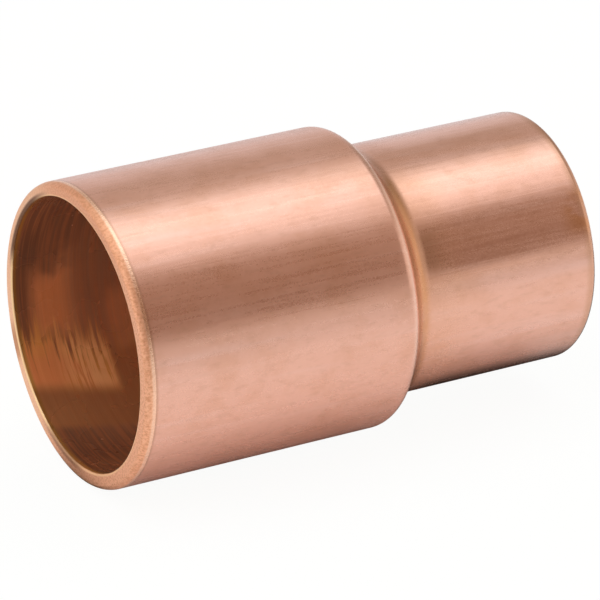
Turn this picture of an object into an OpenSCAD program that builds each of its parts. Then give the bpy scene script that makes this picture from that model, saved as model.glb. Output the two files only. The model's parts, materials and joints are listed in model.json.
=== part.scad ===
// Copper solder reducer, 3/4 x 1/2 in nominal: a spigot at the large end, a cup at the small end.
// One wall of formed tube, with its axis along +X and its origin at the centre of the spigot's open face.

/* [Spigot, the large end] */
// Outside diameter, equal to the tube size that the spigot stands in for
spigot_od = 22.22; // [22:0.01:24]
// Thickness of the wall
spigot_wall = 1.12; // [1:0.01:1.3]
// Straight length, from the open face to the shoulder
spigot_length = 21; // [15:0.1:40]
// Length of the rounded nose, along the axis
nose_length = 0.7; // [0.2:0.05:1.5]
// Depth of the rounded nose, across the wall
nose_depth = 0.4; // [0.2:0.05:0.7]

/* [Shoulder] */
// Slope of the conical stretch, from the axis
shoulder_slope = 55; // [50:1:58]
// Radius of the rounded edge where the shoulder leaves the spigot
edge_radius = 1; // [0.5:0.05:1.1]
// Radius of the hollow where the shoulder meets the cup
root_radius = 2; // [1:0.05:2.1]
// Thickness of the wall across the shoulder
shoulder_wall = 1.2; // [1.1:0.01:1.3]
// Radius of the crease inside the spigot's end
crease_radius = 0.5; // [0.2:0.05:0.6]

/* [Cup, the small end] */
// Outside diameter of the tube that is soldered into the cup
tube_od = 15.88; // [15.8:0.01:16]
// Radial gap that the solder fills
solder_gap = 0.05; // [0.02:0.01:0.1]
// Thickness of the wall
cup_wall = 1.22; // [1.1:0.01:1.3]
// Straight length outside, from the shoulder to the open face
cup_length = 13.75; // [13.7:0.05:20]
// Depth inside, from the open face to the tube stop
cup_depth = 12.7; // [11.5:0.1:12.8]
// Width of the ledge that stops the tube
stop_width = 0.5; // [0.3:0.05:0.7]
// Radius of the cup's outer edge
rim_radius = 0.55; // [0.1:0.05:0.6]

/* [Both ends] */
// Break on the inner edge of both open faces
edge_break = 0.12; // [0.05:0.01:0.25]

/* [Hidden] */

bend_steps = 12;
round_fn = 180;
quarter_turn = 90;

spigot_r = spigot_od / 2;
bore_r = spigot_r - spigot_wall;
cup_bore_r = tube_od / 2 + solder_gap;
cup_r = cup_bore_r + cup_wall;
throat_r = cup_bore_r - stop_width;
throat_bend_radius = root_radius + shoulder_wall;

// Height of the cone's line at radius r, on a line that passes through (at_r, at_z)
function cone_z(r, at_r, at_z) = at_z + (at_r - r) / tan(shoulder_slope);

// Outer cone: its first point is the end of the rounded edge
edge_end_r = spigot_r - edge_radius * (1 - cos(shoulder_slope));
edge_end_z = spigot_length + edge_radius * sin(shoulder_slope);
root_start_r = cup_r + root_radius * (1 - cos(shoulder_slope));
cup_start_z = cone_z(root_start_r, edge_end_r, edge_end_z) + root_radius * sin(shoulder_slope);
overall_length = cup_start_z + cup_length;
stop_z = overall_length - cup_depth;

// Inner cone: the outer one, moved into the wall by the shoulder's thickness
inner_r = edge_end_r - shoulder_wall * cos(shoulder_slope);
inner_z = edge_end_z - shoulder_wall * sin(shoulder_slope);
crease_end_r = bore_r - crease_radius * (1 - cos(shoulder_slope));
crease_z = cone_z(crease_end_r, inner_r, inner_z) - crease_radius * sin(shoulder_slope);
throat_bend_r = throat_r + throat_bend_radius * (1 - cos(shoulder_slope));
throat_z = cone_z(throat_bend_r, inner_r, inner_z) + throat_bend_radius * sin(shoulder_slope);

// Points of an arc about (centre_r, centre_z), from angle a to angle b, with angle 0 pointing outwards
function arc(centre_r, centre_z, radius, a, b) = [
    for (i = [0 : bend_steps])
        let (t = a + (b - a) * i / bend_steps)
            [centre_r + radius * cos(t), centre_z + radius * sin(t)]
];

// Points of the nose, a quarter of an ellipse from the open face to the spigot's straight wall
function nose() = [
    for (i = [0 : bend_steps])
        let (t = quarter_turn * i / bend_steps)
            [spigot_r - nose_depth * (1 - sin(t)), nose_length * (1 - cos(t))]
];

// Outside of the wall, from the spigot's open face to the cup's
function outside() = concat(
    nose(),
    arc(spigot_r - edge_radius, spigot_length, edge_radius, 0, shoulder_slope),
    arc(cup_r + root_radius, cup_start_z, root_radius, 180 + shoulder_slope, 180),
    arc(cup_r - rim_radius, overall_length - rim_radius, rim_radius, 0, quarter_turn)
);

// Inside of the wall, from the cup's open face back to the spigot's
function inside() = concat(
    [[cup_bore_r + edge_break, overall_length], [cup_bore_r, overall_length - edge_break]],
    [[cup_bore_r, stop_z], [throat_r, stop_z]],
    arc(throat_r + throat_bend_radius, throat_z, throat_bend_radius, 180, 180 + shoulder_slope),
    arc(bore_r - crease_radius, crease_z, crease_radius, shoulder_slope, 0),
    [[bore_r, edge_break], [bore_r + edge_break, 0]]
);

module reducer_body() {
    color("#c98a6e")
        rotate([0, quarter_turn, 0])
            rotate_extrude($fn = round_fn)
                polygon(concat(outside(), inside()));
}

reducer_body();
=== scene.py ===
import json
import math
import random

import bpy
import numpy as np
from mathutils import Matrix, Vector


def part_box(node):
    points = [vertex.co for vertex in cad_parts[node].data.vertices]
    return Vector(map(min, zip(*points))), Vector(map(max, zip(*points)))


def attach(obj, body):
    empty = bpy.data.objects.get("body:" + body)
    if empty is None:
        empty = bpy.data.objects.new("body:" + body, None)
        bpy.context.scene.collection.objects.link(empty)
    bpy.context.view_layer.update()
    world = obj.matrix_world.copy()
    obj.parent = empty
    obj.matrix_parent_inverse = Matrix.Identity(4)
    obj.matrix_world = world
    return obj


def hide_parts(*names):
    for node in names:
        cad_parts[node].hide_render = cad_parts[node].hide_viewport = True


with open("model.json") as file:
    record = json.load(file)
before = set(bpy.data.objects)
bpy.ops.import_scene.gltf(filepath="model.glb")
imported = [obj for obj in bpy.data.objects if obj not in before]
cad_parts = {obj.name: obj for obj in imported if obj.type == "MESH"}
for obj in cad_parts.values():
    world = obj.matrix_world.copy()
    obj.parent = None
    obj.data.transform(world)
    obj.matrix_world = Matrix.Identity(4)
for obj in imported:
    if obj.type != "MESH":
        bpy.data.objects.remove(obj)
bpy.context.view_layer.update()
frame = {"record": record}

# One copper reducer, drawn as a single lathe-like mesh around the frame's X axis.
# Lengths below are in millimetres and turn into metres when the mesh is made.

MM = 0.001
NODE = "reducer_body"

mounts = {mount["name"]: mount for mount in frame["record"]["mounts"]}
low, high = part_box(NODE)
LENGTH = (high.x - low.x) / MM
SPIGOT_R = mounts["spigot"]["dims"]["r_mm"]
SPIGOT_STRAIGHT = mounts["spigot"]["dims"]["length_mm"]
CUP_BORE_R = mounts["cup"]["dims"]["r_mm"]

# Wall and ends
SPIGOT_WALL = 1.12
CUP_WALL = 1.22
NOSE_LENGTH = 0.7
NOSE_DEPTH = 0.4
LIP_ROUND = 0.1
RIM_ROUND = 0.55

# Shoulder
SLOPE = math.radians(55)
EDGE_ROUND = 1.0
ROOT_ROUND = 2.0
SHOULDER_WALL = 1.2
CREASE_ROUND = 0.5

# Tube stop
CUP_DEPTH = 12.7
STOP_WIDTH = 0.5

SPIGOT_END = NOSE_LENGTH + SPIGOT_STRAIGHT
BORE_R = SPIGOT_R - SPIGOT_WALL
CUP_R = CUP_BORE_R + CUP_WALL
THROAT_R = CUP_BORE_R - STOP_WIDTH
STOP_X = LENGTH - CUP_DEPTH

HALF_TURN = math.pi
QUARTER_TURN = math.pi / 2
FULL_TURN = 2 * math.pi
DEGREES = 180 / math.pi

# Steps around the axis
SEGMENTS = 272

OUTSIDE, MACHINED, INSIDE = range(3)
# The mesh carries each point's share of the way across the wall, from the bore to the outside
ACROSS_WALL = "across_wall"


# ---------------------------------------------------------------- outline

def line(start, end, step):
    """Points from start towards end, at most step apart, without end itself."""
    count = max(1, math.ceil(math.dist(start, end) / step))
    return [tuple(a + (b - a) * i / count for a, b in zip(start, end)) for i in range(count)]


def arc(centre, radius, start, end, step):
    """Points of an arc in the (x, r) plane, at most about step apart, without its last one.

    Angle 0 points outwards and a quarter turn along +X. An ellipse has a pair for its radius: across, along.
    """
    across, along = radius if isinstance(radius, tuple) else (radius, radius)
    count = max(3, math.ceil(max(across, along) * abs(end - start) / step))
    angles = [start + (end - start) * i / count for i in range(count)]
    return [(centre[0] + along * math.sin(t), centre[1] + across * math.cos(t)) for t in angles]


def cone_x(r, at):
    """Where the shoulder's slope through the point at reaches radius r."""
    return at[0] + (at[1] - r) / math.tan(SLOPE)


def outline():
    """The wall's closed outline as (x, r, surface) in millimetres: mouth, outside, cup and bore."""
    slope_drop = 1 - math.cos(SLOPE)
    slope_run = math.sin(SLOPE)

    # The shoulder's outer side
    edge_end = (SPIGOT_END + EDGE_ROUND * slope_run, SPIGOT_R - EDGE_ROUND * slope_drop)
    root_start_r = CUP_R + ROOT_ROUND * slope_drop
    root_start = (cone_x(root_start_r, edge_end), root_start_r)
    cup_start = root_start[0] + ROOT_ROUND * slope_run

    # Its inner side, from the throat back to the crease
    inner = (edge_end[0] - SHOULDER_WALL * slope_run, edge_end[1] - SHOULDER_WALL * math.cos(SLOPE))
    throat_round = ROOT_ROUND + SHOULDER_WALL
    flare_start_r = THROAT_R + throat_round * slope_drop
    flare_start = (cone_x(flare_start_r, inner), flare_start_r)
    throat_x = flare_start[0] + throat_round * slope_run
    flare_end_r = BORE_R - CREASE_ROUND * slope_drop
    flare_end = (cone_x(flare_end_r, inner), flare_end_r)
    crease_x = flare_end[0] - CREASE_ROUND * slope_run

    # Centres of the roundings, and the corners between the flat faces
    mouth_lip = (LIP_ROUND, BORE_R + LIP_ROUND)
    nose = (NOSE_LENGTH, SPIGOT_R - NOSE_DEPTH)
    edge = (SPIGOT_END, SPIGOT_R - EDGE_ROUND)
    root = (cup_start, CUP_R + ROOT_ROUND)
    rim = (LENGTH - RIM_ROUND, CUP_R - RIM_ROUND)
    cup_lip = (LENGTH - LIP_ROUND, CUP_BORE_R + LIP_ROUND)
    throat = (throat_x, THROAT_R + throat_round)
    crease = (crease_x, BORE_R - CREASE_ROUND)
    stop_outer = (STOP_X, CUP_BORE_R)
    stop_inner = (STOP_X, THROAT_R)

    parts = [
        # The open face and the rounded nose
        (MACHINED, arc(mouth_lip, LIP_ROUND, HALF_TURN, HALF_TURN + QUARTER_TURN, step=0.05)),
        (MACHINED, line((0, mouth_lip[1]), (0, nose[1]), step=0.09)),
        (MACHINED, arc(nose, (NOSE_DEPTH, NOSE_LENGTH), -QUARTER_TURN, 0, step=0.07)),
        # The spigot and the shoulder
        (OUTSIDE, line((NOSE_LENGTH, SPIGOT_R), (SPIGOT_END, SPIGOT_R), step=0.36)),
        (OUTSIDE, arc(edge, EDGE_ROUND, 0, SLOPE, step=0.09)),
        (OUTSIDE, line(edge_end, root_start, step=0.12)),
        (OUTSIDE, arc(root, ROOT_ROUND, HALF_TURN + SLOPE, HALF_TURN, step=0.1)),
        # The cup's outside, its rim and its bore down to the stop
        (OUTSIDE, line((cup_start, CUP_R), (rim[0], CUP_R), step=0.36)),
        (OUTSIDE, arc(rim, RIM_ROUND, 0, QUARTER_TURN, step=0.08)),
        (MACHINED, line((LENGTH, rim[1]), (LENGTH, cup_lip[1]), step=0.12)),
        (MACHINED, arc(cup_lip, LIP_ROUND, QUARTER_TURN, HALF_TURN, step=0.05)),
        (INSIDE, line((cup_lip[0], CUP_BORE_R), stop_outer, step=0.36)),
        (INSIDE, line(stop_outer, stop_inner, step=0.12)),
        # The throat, the flare inside the shoulder and the spigot's bore
        (INSIDE, line(stop_inner, (throat_x, THROAT_R), step=0.3)),
        (INSIDE, arc(throat, throat_round, HALF_TURN, HALF_TURN + SLOPE, step=0.2)),
        (INSIDE, line(flare_start, flare_end, step=0.15)),
        (INSIDE, arc(crease, CREASE_ROUND, SLOPE, 0, step=0.08)),
        (INSIDE, line((crease_x, BORE_R), (LIP_ROUND, BORE_R), step=0.19)),
    ]
    return [(x, r, surface) for surface, points in parts for x, r in points]


# ---------------------------------------------------------------- small real unevenness

# Random waves, from the longest to the shortest in millimetres
DRAWN_WAVES = {"seed": 11, "count": 14, "longest": 16, "shortest": 5}
CHATTER_WAVES = {"seed": 23, "count": 18, "longest": 2.4, "shortest": 0.7}
WANDER_WAVES = {"seed": 37, "count": 10, "longest": 20, "shortest": 6}

# How deep the ripple on the drawn outside and the chatter on the machined faces go
DRAWN_RIPPLE = 0.003
NOSE_CHATTER = 0.005

# Tool rings in the bore near the mouth: their height, their pitch, how far they wander and where they fade
TOOL_MARK = 0.006
TOOL_PITCH = 0.83
TOOL_WANDER = 1.3
TOOL_FADE = (8, 13)

# The bore sits a little high in the wall at the mouth, and not at all from this depth on
MOUTH_LIFT = 0.15
MOUTH_LIFT_DEPTH = 18.0


def ripples(x, turn, radius, seed, count, longest, shortest):
    """A smooth random field over the cylinder, between -1 and 1, made of waves from longest to shortest."""
    draw = random.Random(seed)
    field = np.zeros(np.broadcast(x, turn).shape)
    for _ in range(count):
        length = math.exp(draw.uniform(math.log(shortest), math.log(longest)))
        heading = draw.uniform(0, HALF_TURN)
        along = FULL_TURN / length * math.cos(heading)
        around = round(FULL_TURN / length * math.sin(heading) * radius)
        field += np.sin(along * x + around * turn + draw.uniform(0, FULL_TURN))
    return np.tanh(field / math.sqrt(count))


def fade(value, start, end):
    """0 before start and 1 after end, smooth between."""
    t = np.clip((value - start) / (end - start), 0, 1)
    return t * t * (3 - 2 * t)


def uneven(x, r, surface, turn):
    """Each point's radius and lift, once forming, machining and a slightly uneven wall are counted."""
    outside = (surface == OUTSIDE).astype(float)
    machined = (surface == MACHINED).astype(float)
    inside = (surface == INSIDE).astype(float)
    drawn = ripples(x, turn, SPIGOT_R, **DRAWN_WAVES)
    chatter = ripples(x, turn, SPIGOT_R, **CHATTER_WAVES)
    marks = np.sin(FULL_TURN * x / TOOL_PITCH + TOOL_WANDER * ripples(x, turn, BORE_R, **WANDER_WAVES))
    near_mouth = 1 - fade(x, *TOOL_FADE)
    radius = r - DRAWN_RIPPLE * outside * (1 + drawn)
    radius = radius - NOSE_CHATTER * machined * (1 + chatter) / 2
    radius = radius + TOOL_MARK * inside * near_mouth * marks
    across_face = np.clip((SPIGOT_R - NOSE_DEPTH - r) / (SPIGOT_WALL - NOSE_DEPTH), 0, 1)
    lift = MOUTH_LIFT * across_face * (1 - fade(x, 0, MOUTH_LIFT_DEPTH)) * (machined + inside)
    return radius, lift


def lathe_mesh(name):
    """The wall as one closed mesh, with one material slot for each kind of surface."""
    points = outline()
    x = np.array([point[0] for point in points])[:, None]
    r = np.array([point[1] for point in points])[:, None]
    surface = np.array([point[2] for point in points])[:, None]
    turn = np.arange(SEGMENTS)[None, :] * FULL_TURN / SEGMENTS
    radius, lift = uneven(x, r, surface, turn)
    places = np.stack(
        [
            np.broadcast_to(x, radius.shape),
            -radius * np.sin(turn),
            radius * np.cos(turn) + lift,
        ],
        axis=-1,
    ).reshape(-1, 3) * MM

    rings = len(points)
    faces = []
    for ring in range(rings):
        here = ring * SEGMENTS
        following = (ring + 1) % rings * SEGMENTS
        for segment in range(SEGMENTS):
            beside = (segment + 1) % SEGMENTS
            faces.append((here + segment, following + segment, following + beside, here + beside))
    mesh = bpy.data.meshes.new(name)
    mesh.from_pydata(places.tolist(), [], faces)
    mesh.polygons.foreach_set("use_smooth", [True] * len(faces))
    mesh.polygons.foreach_set("material_index", np.repeat(surface.ravel(), SEGMENTS).astype(np.int32))
    across = np.where(x < LENGTH / 2, (r - BORE_R) / SPIGOT_WALL, (r - CUP_BORE_R) / CUP_WALL)
    across_wall = mesh.attributes.new(ACROSS_WALL, "FLOAT", "POINT")
    across_wall.data.foreach_set("value", np.repeat(across.ravel(), SEGMENTS).astype(np.float32))
    mesh.update()
    return mesh


# ---------------------------------------------------------------- material nodes

def add(tree, kind, inputs=(), **settings):
    """A node with its settings made, and each input either linked or given a value."""
    made = tree.nodes.new(kind)
    for name, value in settings.items():
        setattr(made, name, value)
    for key, value in dict(inputs).items():
        if isinstance(value, bpy.types.NodeSocket):
            tree.links.new(value, made.inputs[key])
        else:
            made.inputs[key].default_value = value
    return made


def calculate(tree, operation, first, second=0.0):
    """The result of one arithmetic node."""
    return add(tree, "ShaderNodeMath", {0: first, 1: second}, operation=operation).outputs[0]


def multiply(tree, first, *others):
    """The product of all the values."""
    for other in others:
        first = calculate(tree, "MULTIPLY", first, other)
    return first


def remap(tree, value, start, end, new_start=0.0, new_end=1.0):
    """value, moved smoothly from start..end to new_start..new_end, and held at the ends."""
    inputs = {"Value": value, "From Min": start, "From Max": end, "To Min": new_start, "To Max": new_end}
    return add(tree, "ShaderNodeMapRange", inputs, interpolation_type="SMOOTHSTEP").outputs[0]


def within(tree, value, stretch, most=1.0):
    """most inside a stretch and 0 outside. A stretch is where it starts, is full, starts to fade and ends."""
    start, full, fading, end = stretch
    rise = remap(tree, value, start, full, 0.0, most)
    fall = remap(tree, value, fading, end, 1.0, 0.0)
    return multiply(tree, rise, fall)


def mix_value(tree, share, first, second):
    """first where share is 0 and second where it is 1."""
    return add(tree, "ShaderNodeMix", {0: share, 2: first, 3: second}).outputs[0]


def blend_colour(tree, share, first, second):
    """The colour first where share is 0 and the colour second where it is 1."""
    made = add(tree, "ShaderNodeMix", {"Factor": share}, data_type="RGBA")
    for socket, value in ((made.inputs[6], first), (made.inputs[7], second)):
        if isinstance(value, bpy.types.NodeSocket):
            tree.links.new(value, socket)
        else:
            socket.default_value = (*value, 1)
    return made.outputs[2]


def paint(tree, colour, coats):
    """colour under coats, each a share and its colour, laid on in order."""
    for share, coat in coats:
        colour = blend_colour(tree, share, colour, coat)
    return colour


def split(tree, place):
    """The three coordinates of a place or a direction."""
    return add(tree, "ShaderNodeSeparateXYZ", {0: place}).outputs


def scale(tree, vector, factor):
    """A vector or a colour, times a number."""
    return add(tree, "ShaderNodeVectorMath", {0: vector, "Scale": factor}, operation="SCALE").outputs[0]


def turn_in_degrees(tree, across, up):
    """The angle around the axis: 0 at the far side, 90 at the top and -90 at the bottom."""
    return multiply(tree, calculate(tree, "ARCTAN2", up, across), DEGREES)


def grain(tree, place, stretch, detail=2.0, roughness=0.5, offset=0.0):
    """Noise whose features are 1 / stretch millimetres long in each direction."""
    scaled = add(tree, "ShaderNodeVectorMath", {0: place, 1: stretch}, operation="MULTIPLY").outputs[0]
    moved = add(tree, "ShaderNodeVectorMath", {0: scaled, 1: (offset,) * 3}, operation="ADD").outputs[0]
    inputs = {"Vector": moved, "Scale": 1.0, "Detail": detail, "Roughness": roughness}
    return add(tree, "ShaderNodeTexNoise", inputs).outputs["Fac"]


def start_material(name, metallic=1.0):
    """A material whose tree holds one Principled shader, and the place of each point in millimetres."""
    material = bpy.data.materials.new(name)
    material.use_nodes = True
    tree = material.node_tree
    tree.nodes.clear()
    shader = add(tree, "ShaderNodeBsdfPrincipled", {"Metallic": metallic})
    add(tree, "ShaderNodeOutputMaterial", {"Surface": shader.outputs[0]})
    metres = add(tree, "ShaderNodeTexCoord").outputs["Object"]
    return material, tree, shader, scale(tree, metres, 1 / MM)


def set_surface(tree, shader, colour, roughness, height, depth):
    """Colour and roughness, and a bump whose full height is depth millimetres."""
    bump = add(tree, "ShaderNodeBump", {"Height": height, "Distance": depth * MM, "Strength": 1.0})
    tree.links.new(colour, shader.inputs["Base Color"])
    tree.links.new(roughness, shader.inputs["Roughness"])
    tree.links.new(bump.outputs[0], shader.inputs["Normal"])


# ---------------------------------------------------------------- the outside's material

COPPER = (0.84, 0.45, 0.325)
COPPER_BROWN = (0.74, 0.37, 0.24)
COPPER_PINK = (0.87, 0.50, 0.385)
# A gold tint, which also stands for painted warm reflection in the shoulder's hollow and on the cup
GOLD_TINT_AND_REFLECTION = (0.72, 0.33, 0.16)
# Painted shade that browns the hollow's tint above
HOLLOW_TOP_SHADE = (0.56, 0.26, 0.115)
RIM_BROWN = (0.62, 0.32, 0.19)
# A stain colour, which also serves as painted shade in the crease and the ring
STAIN_AND_SHADE = (0.50, 0.25, 0.15)
# A painted highlight for the shoulder's rounded edge
PALE_HIGHLIGHT = (1.0, 0.64, 0.48)
# Painted shade on the shoulder's slope
CONE_SHADE = (0.60, 0.39, 0.22)

# Noise, whose stretch is the number of features in a millimetre along X, Y and Z
LINES = {"stretch": (0.12, 3.6, 3.6), "detail": 3.0}
STREAKS = {"stretch": (0.05, 0.9, 0.9), "offset": 7.0}
CLOUDS = {"stretch": (0.3, 0.3, 0.3), "detail": 4.0, "roughness": 0.6, "offset": 19.0}
SPECKS = {"stretch": (0.9, 2.2, 2.2), "detail": 3.0, "roughness": 0.6, "offset": 31.0}
PATCHES = {"stretch": (0.4, 0.5, 0.5), "detail": 3.0, "offset": 43.0}
PORES = {"stretch": (6.0, 8.0, 8.0), "detail": 2.0, "offset": 53.0}

# Roughness: the satin's range, what the cup's polish and the pores add to it, and the bump's depth and pores
SATIN = (0.26, 0.33)
CUP_POLISH = -0.06
PORE_ROUGHNESS = (-0.02, 0.03)
PORE_HEIGHT = 0.12
DRAWN_BUMP = 0.004

# Stretches along the axis, past the spigot's straight part
# Painted shade on top of the spigot's end
SPIGOT_TOP_SHADE = (-3.0, -0.3, -0.2, 0.1)
# Where the painted edge highlight, the painted crease shade and the slope's painted shade lie
EDGE_HIGHLIGHT = (0.1, 0.6, 0.7, 0.95)
CREASE_SHADE = (0.8, 0.9, 1.0, 1.15)
CONE = (0.8, 0.95, 1.4, 1.8)
HOLLOW = (0.9, 1.4, 2.2, 2.9)
HAZE = (2.2, 2.9, 3.2, 7.5)
# A dark ring of painted shade on the cup
DARK_RING = (2.1, 2.45, 2.6, 5.5)
# Lengths over which a mark comes or goes. POLISH_COMES is past the spigot's straight part, NOSE_STAIN_ENDS is
# past the nose, and the others are before the cup's open face
POLISH_COMES = (3.0, 6.0)
NOSE_STAIN_ENDS = (0.05, 0.25)
RIM_TINT_COMES = (1.1, 0.5)
AMBER_COMES = (3.0, 0.9)
# Heights above the axis over which a mark comes or goes. Those of the painted reflections, highlights and
# shade follow where light falls at each height
TINT_SHADED_ABOVE = (6.5, 8.5)
HOLLOW_THINS = (8.3, 9.1)
HAZE_ENDS = (8.0, 9.0)
# The slope's painted shade is weaker at the bottom and thins near the top
CONE_COMES = (-2.5, 0.0)
CONE_THINS = (7.8, 9.5)
# The ring's painted shade lies between these heights
RING_COMES = (2.4, 3.8)
RING_THINS = (5.2, 6.6)
# The painted shade on the spigot's end comes in towards the top
SPIGOT_TOP_SHADE_COMES = (6.5, 9.0)
AMBER_HEIGHT = (3.0, 4.2, 5.4, 6.6)


def drawn_copper():
    """The outside: satin, with fine lines along the axis, soft stains, gold tints by shoulder and rim, partly
    painted reflection at the shoulder, and painted highlights and shade around the shoulder.
    """
    material, tree, shader, place = start_material("drawn_copper")
    along, _, up = split(tree, place)
    past_spigot = calculate(tree, "SUBTRACT", along, SPIGOT_END)
    lines = grain(tree, place, **LINES)
    streaks = grain(tree, place, **STREAKS)
    clouds = grain(tree, place, **CLOUDS)
    specks = grain(tree, place, **SPECKS)
    patches = grain(tree, place, **PATCHES)
    pores = grain(tree, place, **PORES)
    patchy = remap(tree, patches, 0.3, 0.6, 0.7, 1.0)

    # The bare metal
    clouded = remap(tree, clouds, 0.42, 0.68, 0.0, 0.55)
    streaked = remap(tree, streaks, 0.5, 0.75, 0.0, 0.6)
    speckled = remap(tree, specks, 0.48, 0.74, 0.0, 0.2)

    # The hollow's gold tint, which is partly painted reflection, browned above by painted shade, and its
    # painted reflection as a haze on the cup
    hollow_tint_and_shade = blend_colour(tree, remap(tree, up, *TINT_SHADED_ABOVE), GOLD_TINT_AND_REFLECTION, HOLLOW_TOP_SHADE)
    hollow_height = remap(tree, up, *HOLLOW_THINS, 1.0, 0.2)
    # The hollow's tint is partly painted reflection, and thins towards the top
    hollow = multiply(tree, within(tree, past_spigot, HOLLOW), hollow_height, patchy)
    haze_height = remap(tree, up, *HAZE_ENDS, 1.0, 0.0)
    # A painted reflection, a gold haze on the cup beside the hollow
    painted_haze = multiply(tree, within(tree, past_spigot, HAZE, most=0.3), haze_height, patchy)

    # The shoulder's painted edge highlight, the painted shade of the crease behind it and the slope's browner
    # painted shade
    painted_edge_highlight = within(tree, past_spigot, EDGE_HIGHLIGHT, most=0.6)
    painted_crease_shade = multiply(tree, within(tree, past_spigot, CREASE_SHADE), remap(tree, patches, 0.35, 0.55, 0.2, 0.55))
    cone_comes = remap(tree, up, *CONE_COMES, 0.35, 1.0)
    cone_thins = remap(tree, up, *CONE_THINS, 1.0, 0.2)
    cone = multiply(tree, within(tree, past_spigot, CONE, most=0.8), cone_comes, cone_thins)

    # A dark ring of painted shade on the cup beside the hollow, and painted shade on top of the spigot's end
    ring_height = multiply(tree, remap(tree, up, *RING_COMES), remap(tree, up, *RING_THINS, 1.0, 0.1))
    painted_ring_shade = multiply(tree, within(tree, past_spigot, DARK_RING, most=0.75), ring_height, patchy)
    painted_top_shade = multiply(tree, within(tree, past_spigot, SPIGOT_TOP_SHADE, most=0.4), remap(tree, up, *SPIGOT_TOP_SHADE_COMES), patchy)

    # A stain behind the nose, a browner rim on the cup, and amber patches before that rim
    past_nose = calculate(tree, "SUBTRACT", along, NOSE_LENGTH)
    to_end = calculate(tree, "SUBTRACT", LENGTH, along)
    at_nose = multiply(tree, remap(tree, past_nose, *NOSE_STAIN_ENDS, 0.5, 0.0), patchy)
    at_rim = remap(tree, to_end, *RIM_TINT_COMES, 0.0, 0.65)
    amber_length = remap(tree, to_end, *AMBER_COMES, 0.0, 0.85)
    amber = multiply(tree, amber_length, within(tree, up, AMBER_HEIGHT), remap(tree, patches, 0.36, 0.52))

    coats = (
        (clouded, COPPER_BROWN),
        (streaked, COPPER_PINK),
        (speckled, STAIN_AND_SHADE),
        (hollow, hollow_tint_and_shade),
        (painted_haze, GOLD_TINT_AND_REFLECTION),
        (painted_edge_highlight, PALE_HIGHLIGHT),
        (cone, CONE_SHADE),
        (painted_crease_shade, STAIN_AND_SHADE),
        (painted_ring_shade, STAIN_AND_SHADE),
        (painted_top_shade, COPPER_BROWN),
        (at_nose, STAIN_AND_SHADE),
        (at_rim, RIM_BROWN),
        (amber, GOLD_TINT_AND_REFLECTION),
    )
    satin = remap(tree, lines, 0.25, 0.75, *SATIN)
    polish = remap(tree, past_spigot, *POLISH_COMES, 0.0, CUP_POLISH)
    worn = calculate(tree, "ADD", satin, polish)
    roughness = calculate(tree, "ADD", worn, remap(tree, pores, 0.3, 0.7, *PORE_ROUGHNESS))
    height = calculate(tree, "ADD", lines, multiply(tree, pores, PORE_HEIGHT))
    set_surface(tree, shader, paint(tree, COPPER, coats), roughness, height, DRAWN_BUMP)
    return material


# ---------------------------------------------------------------- the open faces' material

MACHINED_COPPER = (0.95, 0.50, 0.30)
MACHINED_DARK = (0.74, 0.33, 0.17)
# Painted highlights on the inner lip and on the nose
LIP_HIGHLIGHT = (0.96, 0.56, 0.30)
NOSE_HIGHLIGHT = (1.0, 0.64, 0.45)
# Painted shade on the inner part of the mouth's face
LIP_SHADE = (0.17, 0.06, 0.022)
# Painted highlights on the lip and the face at the far side of the mouth
FAR_LIP_HIGHLIGHT = (1.0, 0.68, 0.36)
FAR_FACE_HIGHLIGHT = (0.93, 0.58, 0.36)
# Painted shade on a stretch of the face at the mouth
FACE_SHADE = (0.56, 0.24, 0.10)

# Noise, as above
CHATTER = {"stretch": (4.0, 6.5, 6.5), "detail": 3.0, "roughness": 0.6}
FINE = {"stretch": (11.0, 11.0, 11.0), "detail": 2.0, "offset": 5.0}

# Roughness of the face and of the nose, and the bump's depth and its fine noise
MATTE = (0.45, 0.60)
SMOOTHER = (0.22, 0.32)
FINE_HEIGHT = 0.5
MACHINED_BUMP = 0.02

# Stretches around the mouth, in degrees
# Where the inner part of the face gets painted shade, above and below
LIP_SHADE_ABOVE = (6.0, 20.0, 50.0, 72.0)
LIP_SHADE_BELOW = (-100.0, -85.0, -70.0, -56.0)
# Where the face gets painted shade
FACE_SHADED = (-34.0, -26.0, -22.0, -12.0)
# Shares of the wall over which a mark on the face ends
LIP_ENDS = (0.08, 0.16)
LIP_SHADE_ENDS = (0.22, 0.44)
# Millimetres over which a mark comes or goes: in from the mouth, towards the far side or above the axis
MOUTH_ENDS = (1.0, 2.0)
NOSE_COMES = (0.36, 0.56)
FAR_COMES = (2.0, 7.0)
# Painted shade, darker towards the top of the cut faces
FACE_TOP_SHADE = (5.0, 10.0)


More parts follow.
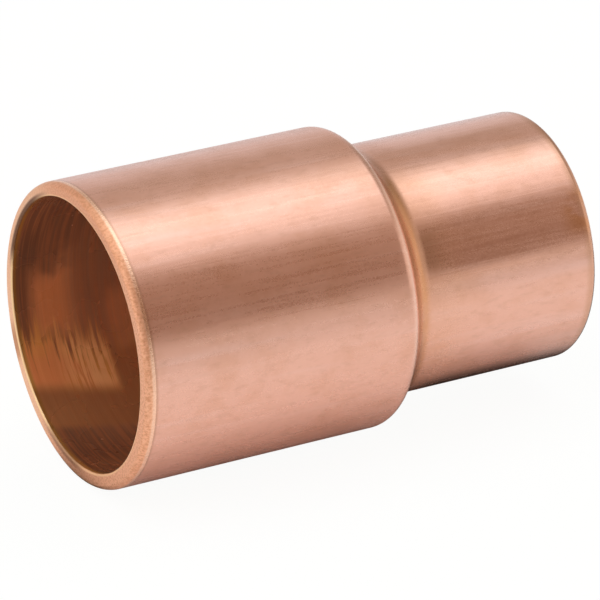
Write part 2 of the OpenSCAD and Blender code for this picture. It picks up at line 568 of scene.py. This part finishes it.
def machined_copper():
    """The cut faces: matte and fine-grained, with a painted highlight on the inner lip, and the mouth's nose
    and marks, among them painted highlights and shade.
    """
    material, tree, shader, place = start_material("machined_copper")
    across = add(tree, "ShaderNodeAttribute", attribute_name=ACROSS_WALL).outputs["Fac"]
    along, aside, up = split(tree, place)
    turn = turn_in_degrees(tree, aside, up)
    chatter = grain(tree, place, **CHATTER)
    fine = grain(tree, place, **FINE)

    # The inner lip, which gets a painted highlight
    on_lip = remap(tree, across, *LIP_ENDS, 1.0, 0.0)
    at_mouth = remap(tree, along, *MOUTH_ENDS, 1.0, 0.0)
    # The far side of the mouth, which gets painted highlights on its face and lip
    on_nose = multiply(tree, remap(tree, along, *NOSE_COMES), at_mouth)
    far_side = multiply(tree, remap(tree, aside, *FAR_COMES), at_mouth)
    # Painted shade on a stretch of the face, a little below the far side
    painted_face_shade = multiply(tree, within(tree, turn, FACE_SHADED, most=0.8), at_mouth)
    # Painted shade on the inner part of the face at the mouth, in two stretches around it
    lip_shade_top = within(tree, turn, LIP_SHADE_ABOVE, most=0.95)
    lip_shade_low = within(tree, turn, LIP_SHADE_BELOW, most=0.55)
    lip_shade_turns = calculate(tree, "ADD", lip_shade_top, lip_shade_low)
    painted_lip_shade = multiply(tree, lip_shade_turns, at_mouth, remap(tree, across, *LIP_SHADE_ENDS, 1.0, 0.0))

    coats = (
        (remap(tree, chatter, 0.38, 0.68), MACHINED_DARK),
        # Painted shade, darker towards the top
        (remap(tree, up, *FACE_TOP_SHADE, 0.0, 0.35), MACHINED_DARK),
        (multiply(tree, far_side, 0.6), FAR_FACE_HIGHLIGHT),
        (painted_face_shade, FACE_SHADE),
        (on_lip, blend_colour(tree, far_side, LIP_HIGHLIGHT, FAR_LIP_HIGHLIGHT)),
        # A painted highlight on the nose
        (multiply(tree, on_nose, 0.6), NOSE_HIGHLIGHT),
        (painted_lip_shade, LIP_SHADE),
    )
    matte = remap(tree, fine, 0.3, 0.7, *MATTE)
    smoother = remap(tree, fine, 0.3, 0.7, *SMOOTHER)
    roughness = mix_value(tree, on_nose, matte, smoother)
    height = calculate(tree, "ADD", chatter, multiply(tree, fine, FINE_HEIGHT))
    set_surface(tree, shader, paint(tree, MACHINED_COPPER, coats), roughness, height, MACHINED_BUMP)
    return material


# ---------------------------------------------------------------- the inside's material

BORE_OXIDE = (0.30, 0.128, 0.066)
BORE_DEEP = (0.62, 0.275, 0.135)
BORE_LOW = (0.17, 0.066, 0.034)
BORE_UNDER = (0.70, 0.275, 0.10)
BORE_RED = (0.93, 0.30, 0.105)
# A painted red glow of reflection, also one of the burnished patch's colours
PAINTED_GLOW_AND_PATCH_RED = (0.78, 0.235, 0.078)
BORE_GOLD = (0.78, 0.28, 0.065)
BORE_BRIGHT = (1.0, 0.43, 0.165)
# Painted shade on the bore just inside the mouth
BORE_EDGE_SHADE = (0.55, 0.24, 0.06)
BORE_COPPER = (0.80, 0.50, 0.36)

# Noise, as above
BORE_RINGS = {"stretch": (4.5, 0.12, 0.12), "detail": 3.0, "roughness": 0.6}
BORE_SCORES = {"stretch": (4.0, 0.2, 0.2), "detail": 3.0, "roughness": 0.65, "offset": 29.0}
BORE_CLOUDS = {"stretch": (0.25, 0.25, 0.25), "detail": 3.0, "offset": 13.0}

BORE_ROUGHNESS = (0.2, 0.3)
BORE_BUMP = 0.015

# The burnished patch: how many degrees it leans for each millimetre in, and how far its scores shift its
# upper side, in degrees, and its inner end, in millimetres
PATCH_LEAN = 1.3
RAGGED_TURN = 44.0
RAGGED_DEPTH = 0.8
# Degrees over which its two sides and the brown wall under it come or go
PATCH_LOWER = (-49.0, -39.0)
PATCH_UPPER = (-52.0, -37.0)
BROWN_COMES = (-67.0, -62.0)
# Millimetres from the mouth over which its inner end and its scores come or go
PATCH_INNER = (6.9, 7.5)
SCORES_COME = (2.0, 4.6)
# Two red glows above it, painted reflections, each with its stretch in degrees around the bore and in
# millimetres from the mouth
GLOW_TURN = (-34.0, -14.0, 0.0, 16.0)
GLOW_DEPTH = (0.3, 2.6, 3.4, 6.0)
DEEP_GLOW_TURN = (-36.0, -24.0, -16.0, -4.0)
DEEP_GLOW_DEPTH = (6.4, 8.0, 9.0, 11.0)
GLOW_DRIFT = 40.0
# The wall's other changes, over degrees or over millimetres from the mouth
TOP_COMES = (-5.0, 40.0)
LOW_ENDS = (-92.0, -62.0)
DEEP_COMES = (0.5, 6.0)
MOUTH_EDGE = (0.2, 0.5)
CUP_BEFORE_STOP = 4.0


def bore_copper():
    """The inside: dull and brown, with a burnished, scored patch near the mouth, painted red glows of
    reflection above it, and clean in the cup.
    """
    material, tree, shader, place = start_material("bore_copper")
    along, across, up = split(tree, place)
    turn = turn_in_degrees(tree, across, up)
    rings = grain(tree, place, **BORE_RINGS)
    scores = grain(tree, place, **BORE_SCORES)
    clouds = grain(tree, place, **BORE_CLOUDS)

    # The burnished patch, between a smooth lower side and a ragged upper side, and the brown wall under it
    spiral = calculate(tree, "ADD", turn, multiply(tree, along, PATCH_LEAN))
    ragged = calculate(tree, "SUBTRACT", spiral, multiply(tree, scores, RAGGED_TURN))
    ragged_depth = calculate(tree, "ADD", along, multiply(tree, scores, RAGGED_DEPTH))
    above_lower = remap(tree, spiral, *PATCH_LOWER)
    below_upper = remap(tree, ragged, *PATCH_UPPER, 1.0, 0.0)
    burnished = multiply(tree, above_lower, below_upper, remap(tree, ragged_depth, *PATCH_INNER, 1.0, 0.0))
    cut = remap(tree, scores, 0.4, 0.5)
    scored = multiply(tree, burnished, cut, remap(tree, along, *SCORES_COME, 0.1, 1.0))
    browned = multiply(tree, remap(tree, spiral, *BROWN_COMES), below_upper, 0.8)

    # The red glows, painted reflections
    drift = multiply(tree, calculate(tree, "SUBTRACT", clouds, 0.5), GLOW_DRIFT)
    warped = calculate(tree, "ADD", turn, drift)
    glow = multiply(tree, within(tree, warped, GLOW_TURN), within(tree, along, GLOW_DEPTH))
    deep_glow_turn = within(tree, warped, DEEP_GLOW_TURN)
    deep_glow = multiply(tree, deep_glow_turn, within(tree, along, DEEP_GLOW_DEPTH, most=0.6))
    glow = calculate(tree, "MAXIMUM", glow, deep_glow)

    below_top = remap(tree, turn, *TOP_COMES, 1.0, 0.15)
    in_cup = remap(tree, along, STOP_X - CUP_BEFORE_STOP, STOP_X)
    coats = (
        (multiply(tree, remap(tree, along, *DEEP_COMES), below_top), BORE_DEEP),
        (remap(tree, turn, *LOW_ENDS, 0.7, 0.0), BORE_LOW),
        (remap(tree, rings, 0.42, 0.64, 0.0, 0.32), BORE_RED),
        (multiply(tree, glow, 0.85), PAINTED_GLOW_AND_PATCH_RED),
        (browned, BORE_UNDER),
        (burnished, blend_colour(tree, remap(tree, clouds, 0.35, 0.6), PAINTED_GLOW_AND_PATCH_RED, BORE_GOLD)),
        (scored, BORE_BRIGHT),
        # Painted shade on the bore just inside the mouth
        (remap(tree, along, *MOUTH_EDGE, 1.0, 0.0), BORE_EDGE_SHADE),
        (in_cup, BORE_COPPER),
    )
    # Half oxide and half metal, all oxide in the painted glows and the patch, and all metal in the cup
    half_metal = remap(tree, calculate(tree, "MAXIMUM", glow, burnished), 0.0, 1.0, 0.5, 0.0)
    tree.links.new(mix_value(tree, in_cup, half_metal, 1.0), shader.inputs["Metallic"])
    roughness = remap(tree, clouds, 0.3, 0.7, *BORE_ROUGHNESS)
    set_surface(tree, shader, paint(tree, BORE_OXIDE, coats), roughness, rings, BORE_BUMP)
    return material


# ---------------------------------------------------------------- the piece

body = bpy.data.objects.new("reducer_body_surface", lathe_mesh("reducer_body_surface"))
bpy.context.scene.collection.objects.link(body)
for material in (drawn_copper(), machined_copper(), bore_copper()):
    body.data.materials.append(material)
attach(body, "root")
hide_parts(NODE)


# ---------------------------------------------------------------- floor, light and camera

# The floor's half width, in metres
FLOOR_HALF = 12.0
FLOOR_COLOUR = (0.86, 0.88, 0.91)
# How much light the floor gives off, and its stretch in millimetres from the fitting. It gives none close to
# the fitting, as a painted shadow for light and reflections
FLOOR_GLOW = 0.22
FLOOR_GLOW_STRETCH = (1.0, 14.0, 30.0, 110.0)
# Millimetres in front of the mouth count this many times
MOUTH_SIDE = 4.0
# The floor's share of its colour right under the fitting, a painted contact shadow, and the millimetres over
# which it comes back
CONTACT_SHADE = 0.05
SHADE_ENDS = (2.0, 6.5)
# What the camera sees of the floor and of the backdrop, as on an overexposed sweep
SEEN_COLOUR = (0.06, 0.06, 0.06)
SEEN_GLOW = 0.95
SEEN_WHITE = (1.0, 1.0, 0.99)


def camera_ray(tree):
    """1 for what the camera sees directly, and 0 for light and reflections."""
    return add(tree, "ShaderNodeLightPath").outputs["Is Camera Ray"]


def make_floor():
    """A plain pale floor under the fitting, with a painted shadow beneath it for light and reflections. The
    camera sees it washed out.
    """
    mesh = bpy.data.meshes.new("floor")
    corners = [(-1, -1), (1, -1), (1, 1), (-1, 1)]
    mesh.from_pydata([(a * FLOOR_HALF, b * FLOOR_HALF, low.z) for a, b in corners], [], [(0, 1, 2, 3)])
    floor = bpy.data.objects.new("floor", mesh)
    bpy.context.scene.collection.objects.link(floor)
    material, tree, shader, place = start_material("floor", metallic=0.0)
    shader.inputs["Roughness"].default_value = 0.9
    shader.inputs["Specular IOR Level"].default_value = 0.0
    shader.inputs["Emission Color"].default_value = (*SEEN_WHITE, 1)
    along, across, _ = split(tree, place)
    before_mouth = multiply(tree, along, -MOUTH_SIDE)
    away = calculate(tree, "MAXIMUM", calculate(tree, "ABSOLUTE", across), before_mouth)
    glow = within(tree, away, FLOOR_GLOW_STRETCH, FLOOR_GLOW)
    shaded = scale(tree, FLOOR_COLOUR, remap(tree, away, *SHADE_ENDS, CONTACT_SHADE, 1.0))
    seen = camera_ray(tree)
    tree.links.new(mix_value(tree, seen, glow, SEEN_GLOW), shader.inputs["Emission Strength"])
    tree.links.new(blend_colour(tree, seen, shaded, SEEN_COLOUR), shader.inputs["Base Color"])
    mesh.materials.append(material)


# The room as bands over the fitting's axis: degrees from the front horizon up and over, and the light there
ROOM = (
    (0, (0.84, 0.85, 0.82)),
    (5, (0.84, 0.85, 0.82)),
    (12, (0.25, 0.165, 0.118)),
    (54.5, (0.35, 0.25, 0.185)),
    (70.5, (1.22, 1.29, 1.37)),
    (94, (1.76, 1.98, 2.19)),
    (108, (1.30, 1.47, 1.56)),
    (120, (0.57, 0.55, 0.53)),
    (146, (0.55, 0.53, 0.50)),
    (158, (0.78, 0.80, 0.84)),
    (180, (0.85, 0.88, 0.94)),
)
# The same bands, in the gap beyond the right end of the softbox
RIGHT_GAP = (
    (0, (0.93, 0.92, 0.90)),
    (45, (0.90, 0.88, 0.85)),
    (75, (0.52, 0.49, 0.45)),
    (115, (0.50, 0.47, 0.43)),
    (135, (0.40, 0.37, 0.34)),
    (165, (0.42, 0.39, 0.36)),
    (180, (0.60, 0.58, 0.55)),
)
# The same bands, on the pale wall at the right
RIGHT_END = (
    (0, (0.95, 0.94, 0.92)),
    (45, (0.95, 0.94, 0.92)),
    (75, (0.82, 0.80, 0.77)),
    (115, (0.80, 0.78, 0.75)),
    (135, (0.74, 0.72, 0.69)),
    (165, (0.70, 0.68, 0.65)),
    (180, (0.74, 0.72, 0.70)),
)
# The even light on the wall at the left
LEFT_END = (1.25, 1.27, 1.32)
# Brighter than any light in the bands, whose ramps hold only 0 to 1
BRIGHTEST = 2.2
# Where each end of the room comes in, by how far the light's direction points along the axis
LEFT_COMES = (-0.6, -0.85)
GAP_COMES = (0.46, 0.72)
RIGHT_COMES = (0.8, 0.92)


def bands(tree, turned, stops):
    """The light at turned, which is a share of the half turn over the axis, blended between the stops."""
    ramp = add(tree, "ShaderNodeValToRGB", {"Fac": turned})
    ramp.color_ramp.interpolation = "EASE"
    marks = ramp.color_ramp.elements
    while len(marks) < len(stops):
        marks.new(position=0.5)
    for mark, (degrees, light) in zip(marks, stops):
        mark.position = degrees / 180
        mark.color = (*[part / BRIGHTEST for part in light], 1)
    return scale(tree, ramp.outputs[0], BRIGHTEST)


def make_room():
    """The studio: a long softbox overhead, a dim room in front, pale end walls and a white backdrop."""
    world = bpy.data.worlds.new("studio")
    bpy.context.scene.world = world
    world.use_nodes = True
    tree = world.node_tree
    tree.nodes.clear()
    along, across, up = split(tree, add(tree, "ShaderNodeTexCoord").outputs["Generated"])
    forward = multiply(tree, across, -1.0)
    turned = calculate(tree, "DIVIDE", calculate(tree, "ARCTAN2", up, forward), HALF_TURN)
    coats = (
        (remap(tree, along, *LEFT_COMES), LEFT_END),
        (remap(tree, along, *GAP_COMES), bands(tree, turned, RIGHT_GAP)),
        (remap(tree, along, *RIGHT_COMES), bands(tree, turned, RIGHT_END)),
        (camera_ray(tree), SEEN_WHITE),
    )
    light = paint(tree, bands(tree, turned, ROOM), coats)
    background = add(tree, "ShaderNodeBackground", {"Color": light})
    add(tree, "ShaderNodeOutputWorld", {"Surface": background.outputs[0]})


# The camera looks down at TARGET from DISTANCE, then moves a little in its own plane, all in millimetres
AZIMUTH = math.radians(-29.16)
ELEVATION = math.radians(24.26)
DISTANCE = 353.7
LENS = 295.1
SENSOR = 36.0
TARGET = (18.0, 0.0, 0.0)
SHIFT_RIGHT = 0.151
SHIFT_UP = -0.978


def make_camera():
    """A long lens, from above and from the open mouth's side."""
    data = bpy.data.cameras.new("camera")
    data.lens = LENS
    data.sensor_width = SENSOR
    data.clip_start = 0.01
    data.clip_end = 20
    camera = bpy.data.objects.new("camera", data)
    bpy.context.scene.collection.objects.link(camera)
    level = math.cos(ELEVATION)
    back = Vector((math.sin(AZIMUTH) * level, -math.cos(AZIMUTH) * level, math.sin(ELEVATION)))
    right = Vector((0, 0, 1)).cross(back).normalized()
    up = back.cross(right)
    place = Vector(TARGET) + back * DISTANCE + right * SHIFT_RIGHT + up * SHIFT_UP
    turned = Matrix((right, up, back)).transposed().to_4x4()
    camera.matrix_world = Matrix.Translation(place * MM) @ turned
    bpy.context.scene.camera = camera


make_floor()
make_room()
make_camera()
bpy.context.scene.view_settings.view_transform = "Standard"
# The bore mirrors itself many times over
bpy.context.scene.cycles.glossy_bounces = 12
bpy.context.scene.cycles.max_bounces = 16
